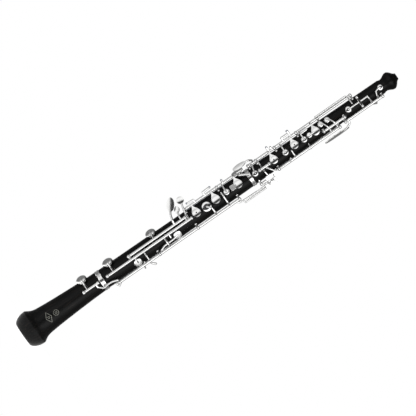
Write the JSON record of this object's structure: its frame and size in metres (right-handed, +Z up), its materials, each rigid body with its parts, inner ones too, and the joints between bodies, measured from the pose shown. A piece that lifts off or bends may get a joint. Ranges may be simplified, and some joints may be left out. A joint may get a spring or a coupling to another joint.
{
  "type": "oboe",
  "caption": "Slender black wooden oboe in three sections with a flared bell, silver rings and a full set of silver keys, plates and rods.",
  "frame": {"origin": "centre of the bell rim, in the plane the oboe stands on", "axes": "+Z up the bore towards the reed well, -Y out of the front (finger plates), -X towards the player's right side"},
  "size_m": [0.0749, 0.0513, 0.6],
  "materials": {
    "blackwood": "oiled and polished, nearly black",
    "silver_plate": "polished silver plate",
    "blued_steel": "drawn and polished",
    "tenon_cork": "sanded cork",
    "pad_cork": "fine cork",
    "pad_skin": "smooth skin over felt"
  },
  "bodies": {
    "bell": {"bell": "blackwood", "bell_ring": "silver_plate", "bell_posts": "silver_plate", "bell_hinge_rod": "blued_steel"},
    "lower_joint": {"lower_joint": "blackwood", "lower_joint_ring": "silver_plate", "lower_tenon_cork": "tenon_cork", "lower_posts": "silver_plate", "lower_hinge_rods": "blued_steel", "lower_needle_springs": "blued_steel", "thumb_rest": "silver_plate", "thumb_rest_screws": "blued_steel"},
    "upper_joint": {"upper_joint": "blackwood", "upper_tenon_cork": "tenon_cork", "upper_posts": "silver_plate", "upper_hinge_rods": "blued_steel", "upper_needle_springs": "blued_steel"},
    "low_bflat_key": {"low_bflat_key": "silver_plate", "low_bflat_key_pad": "pad_skin"},
    "low_b_key": {"low_b_key": "silver_plate", "low_b_key_pad": "pad_skin"},
    "c_sharp_key": {"c_sharp_key": "silver_plate", "c_sharp_key_pad": "pad_skin"},
    "low_c_key": {"low_c_key": "silver_plate", "low_c_key_pad": "pad_skin"},
    "e_flat_touch": {"e_flat_touch": "silver_plate"},
    "e_flat_key": {"e_flat_key": "silver_plate", "e_flat_key_pad": "pad_skin"},
    "low_bflat_link": {"low_bflat_link": "silver_plate"},
    "d_key": {"d_key": "silver_plate", "d_key_pad": "pad_skin"},
    "e_key": {"e_key": "silver_plate", "e_key_pad": "pad_skin"},
    "f_sharp_key": {"f_sharp_key": "silver_plate", "f_sharp_key_pad": "pad_skin"},
    "f_resonance_key": {"f_resonance_key": "silver_plate", "f_resonance_key_pad": "pad_skin"},
    "g_sharp_key": {"g_sharp_key": "silver_plate", "g_sharp_key_pad": "pad_skin"},
    "side_trill_lever": {"side_trill_lever": "silver_plate"},
    "g_key": {"g_key": "silver_plate", "g_key_pad": "pad_skin"},
    "a_key": {"a_key": "silver_plate", "a_key_pad": "pad_skin"},
    "b_key": {"b_key": "silver_plate", "b_key_pad": "pad_skin"},
    "upper_trill_lever": {"upper_trill_lever": "silver_plate"},
    "c_trill_key": {"c_trill_key": "silver_plate", "c_trill_key_pad": "pad_cork"},
    "d_trill_key": {"d_trill_key": "silver_plate", "d_trill_key_pad": "pad_cork"},
    "trill_link_lever": {"trill_link_lever": "silver_plate"},
    "g_sharp_lever": {"g_sharp_lever": "silver_plate"},
    "left_b_lever": {"left_b_lever": "silver_plate"},
    "left_bflat_lever": {"left_bflat_lever": "silver_plate"},
    "side_octave_lever": {"side_octave_lever": "silver_plate"},
    "first_octave_key": {"first_octave_key": "silver_plate", "first_octave_key_pad": "pad_cork"},
    "second_octave_key": {"second_octave_key": "silver_plate", "second_octave_key_pad": "pad_cork"}
  },
  "joints": [
    {"name": "lower_tenon_pull", "type": "slide", "parent": "bell", "child": "lower_joint", "axis": [0, 0, 1], "range_m": [0, 0.024]},
    {"name": "upper_tenon_pull", "type": "slide", "parent": "lower_joint", "child": "upper_joint", "axis": [0, 0, 1], "range_m": [0, 0.028]},
    {"name": "low_bflat_key_hinge", "type": "hinge", "parent": "bell", "child": "low_bflat_key", "pos_m": [0, -0.0192, 0.11], "axis": [0, 0, -1], "range_deg": [0, 6], "stiffness_Nm_per_rad": 0.02, "springref_deg": -8.59},
    {"name": "low_b_key_hinge", "type": "hinge", "parent": "lower_joint", "child": "low_b_key", "pos_m": [0, -0.0186, 0.157], "axis": [0, 0, -1], "range_deg": [0, 6], "stiffness_Nm_per_rad": 0.02, "springref_deg": -8.59},
    {"name": "c_sharp_key_hinge", "type": "hinge", "parent": "lower_joint", "child": "c_sharp_key", "pos_m": [0, -0.0186, 0.222], "axis": [0, 0, -1], "range_deg": [0, 5], "stiffness_Nm_per_rad": 0.02, "springref_deg": -8.59},
    {"name": "low_c_key_hinge", "type": "hinge", "parent": "lower_joint", "child": "low_c_key", "pos_m": [-0.0056, -0.0174, 0.213], "axis": [0, 0, -1], "range_deg": [0, 6], "stiffness_Nm_per_rad": 0.02, "springref_deg": -8.59},
    {"name": "e_flat_touch_hinge", "type": "hinge", "parent": "lower_joint", "child": "e_flat_touch", "pos_m": [-0.0056, -0.0174, 0.257], "axis": [0, 0, -1], "range_deg": [0, 5], "stiffness_Nm_per_rad": 0.02, "springref_deg": -8.59},
    {"name": "e_flat_key_hinge", "type": "hinge", "parent": "lower_joint", "child": "e_flat_key", "pos_m": [0.0154, -0.011, 0.24], "axis": [0, 0, 1], "range_deg": [0, 5], "stiffness_Nm_per_rad": 0.02, "springref_deg": -8.59},
    {"name": "low_bflat_link_hinge", "type": "hinge", "parent": "lower_joint", "child": "low_bflat_link", "pos_m": [0.0154, -0.011, 0.175], "axis": [0, 0, 1], "range_deg": [0, 6], "stiffness_Nm_per_rad": 0.02, "springref_deg": -8.59},
    {"name": "d_key_hinge", "type": "hinge", "parent": "lower_joint", "child": "d_key", "pos_m": [-0.0146, -0.0098, 0.284], "axis": [0, 0, 1], "range_deg": [0, 6], "stiffness_Nm_per_rad": 0.02, "springref_deg": -8.59},
    {"name": "e_key_hinge", "type": "hinge", "parent": "lower_joint", "child": "e_key", "pos_m": [-0.0146, -0.0098, 0.308], "axis": [0, 0, 1], "range_deg": [0, 6], "stiffness_Nm_per_rad": 0.02, "springref_deg": -8.59},
    {"name": "f_sharp_key_hinge", "type": "hinge", "parent": "lower_joint", "child": "f_sharp_key", "pos_m": [-0.0146, -0.0098, 0.339], "axis": [0, 0, 1], "range_deg": [0, 6], "stiffness_Nm_per_rad": 0.02, "springref_deg": -8.59},
    {"name": "f_resonance_key_hinge", "type": "hinge", "parent": "lower_joint", "child": "f_resonance_key", "pos_m": [0.0154, -0.011, 0.303], "axis": [0, 0, -1], "range_deg": [0, 5], "stiffness_Nm_per_rad": 0.02, "springref_deg": -8.59},
    {"name": "g_sharp_key_hinge", "type": "hinge", "parent": "upper_joint", "child": "g_sharp_key", "pos_m": [-0.0142, -0.008, 0.3747], "axis": [0, 0, -1], "range_deg": [0, 5], "stiffness_Nm_per_rad": 0.02, "springref_deg": -8.59},
    {"name": "side_trill_lever_hinge", "type": "hinge", "parent": "upper_joint", "child": "side_trill_lever", "pos_m": [-0.0142, -0.008, 0.379], "axis": [0, 0, -1], "range_deg": [0, 4], "stiffness_Nm_per_rad": 0.02, "springref_deg": -8.59},
    {"name": "g_key_hinge", "type": "hinge", "parent": "upper_joint", "child": "g_key", "pos_m": [-0.0142, -0.008, 0.398], "axis": [0, 0, 1], "range_deg": [0, 6], "stiffness_Nm_per_rad": 0.02, "springref_deg": -8.59},
    {"name": "a_key_hinge", "type": "hinge", "parent": "upper_joint", "child": "a_key", "pos_m": [-0.0142, -0.008, 0.43], "axis": [0, 0, 1], "range_deg": [0, 6], "stiffness_Nm_per_rad": 0.02, "springref_deg": -8.59},
    {"name": "b_key_hinge", "type": "hinge", "parent": "upper_joint", "child": "b_key", "pos_m": [-0.0142, -0.008, 0.465], "axis": [0, 0, 1], "range_deg": [0, 6], "stiffness_Nm_per_rad": 0.02, "springref_deg": -8.59},
    {"name": "upper_trill_lever_hinge", "type": "hinge", "parent": "upper_joint", "child": "upper_trill_lever", "pos_m": [-0.0142, -0.008, 0.508], "axis": [0, 0, -1], "range_deg": [0, 4], "stiffness_Nm_per_rad": 0.02, "springref_deg": -8.59},
    {"name": "c_trill_key_hinge", "type": "hinge", "parent": "upper_joint", "child": "c_trill_key", "pos_m": [0.0056, -0.0146, 0.488], "axis": [0, 0, 1], "range_deg": [0, 4], "stiffness_Nm_per_rad": 0.02, "springref_deg": -8.59},
    {"name": "d_trill_key_hinge", "type": "hinge", "parent": "upper_joint", "child": "d_trill_key", "pos_m": [0.0056, -0.0146, 0.503], "axis": [0, 0, 1], "range_deg": [0, 4], "stiffness_Nm_per_rad": 0.02, "springref_deg": -8.59},
    {"name": "trill_link_lever_hinge", "type": "hinge", "parent": "upper_joint", "child": "trill_link_lever", "pos_m": [0.0125, -0.0091, 0.45], "axis": [0, 0, 1], "range_deg": [0, 4], "stiffness_Nm_per_rad": 0.02, "springref_deg": -8.59},
    {"name": "g_sharp_lever_hinge", "type": "hinge", "parent": "upper_joint", "child": "g_sharp_lever", "pos_m": [-0.0005, -0.0164, 0.388], "axis": [0, 0, 1], "range_deg": [0, 5], "stiffness_Nm_per_rad": 0.02, "springref_deg": -8.59},
    {"name": "left_b_lever_hinge", "type": "hinge", "parent": "upper_joint", "child": "left_b_lever", "pos_m": [0.0156, -0.0066, 0.379], "axis": [0, 0, 1], "range_deg": [0, 6], "stiffness_Nm_per_rad": 0.02, "springref_deg": -8.59},
    {"name": "left_bflat_lever_hinge", "type": "hinge", "parent": "upper_joint", "child": "left_bflat_lever", "pos_m": [0.0156, -0.0066, 0.39], "axis": [0, 0, 1], "range_deg": [0, 6], "stiffness_Nm_per_rad": 0.02, "springref_deg": -8.59},
    {"name": "side_octave_lever_hinge", "type": "hinge", "parent": "upper_joint", "child": "side_octave_lever", "pos_m": [0.0112, -0.0084, 0.534], "axis": [0, 0, -1], "range_deg": [0, 4], "stiffness_Nm_per_rad": 0.02, "springref_deg": -8.59},
    {"name": "first_octave_key_hinge", "type": "hinge", "parent": "upper_joint", "child": "first_octave_key", "pos_m": [0.0112, -0.0084, 0.562], "axis": [0, 0, 1], "range_deg": [0, 6], "stiffness_Nm_per_rad": 0.02, "springref_deg": -8.59},
    {"name": "second_octave_key_hinge", "type": "hinge", "parent": "upper_joint", "child": "second_octave_key", "pos_m": [0, -0.015, 0.54], "axis": [-1, 0, 0], "range_deg": [0, 4], "stiffness_Nm_per_rad": 0.02, "springref_deg": -8.59}
  ],
  "couplings": [
    {"joint": "low_bflat_key_hinge", "follows": "left_bflat_lever_hinge", "ratio": 1},
    {"joint": "low_bflat_link_hinge", "follows": "left_bflat_lever_hinge", "ratio": 1},
    {"joint": "low_b_key_hinge", "follows": "left_b_lever_hinge", "ratio": 1},
    {"joint": "e_flat_key_hinge", "follows": "e_flat_touch_hinge", "ratio": 1},
    {"joint": "g_sharp_key_hinge", "follows": "g_sharp_lever_hinge", "ratio": 1},
    {"joint": "second_octave_key_hinge", "follows": "side_octave_lever_hinge", "ratio": 1},
    {"joint": "c_trill_key_hinge", "follows": "trill_link_lever_hinge", "ratio": 1},
    {"joint": "d_trill_key_hinge", "follows": "side_trill_lever_hinge", "ratio": 1},
    {"joint": "upper_trill_lever_hinge", "follows": "side_trill_lever_hinge", "ratio": 1}
  ]
}
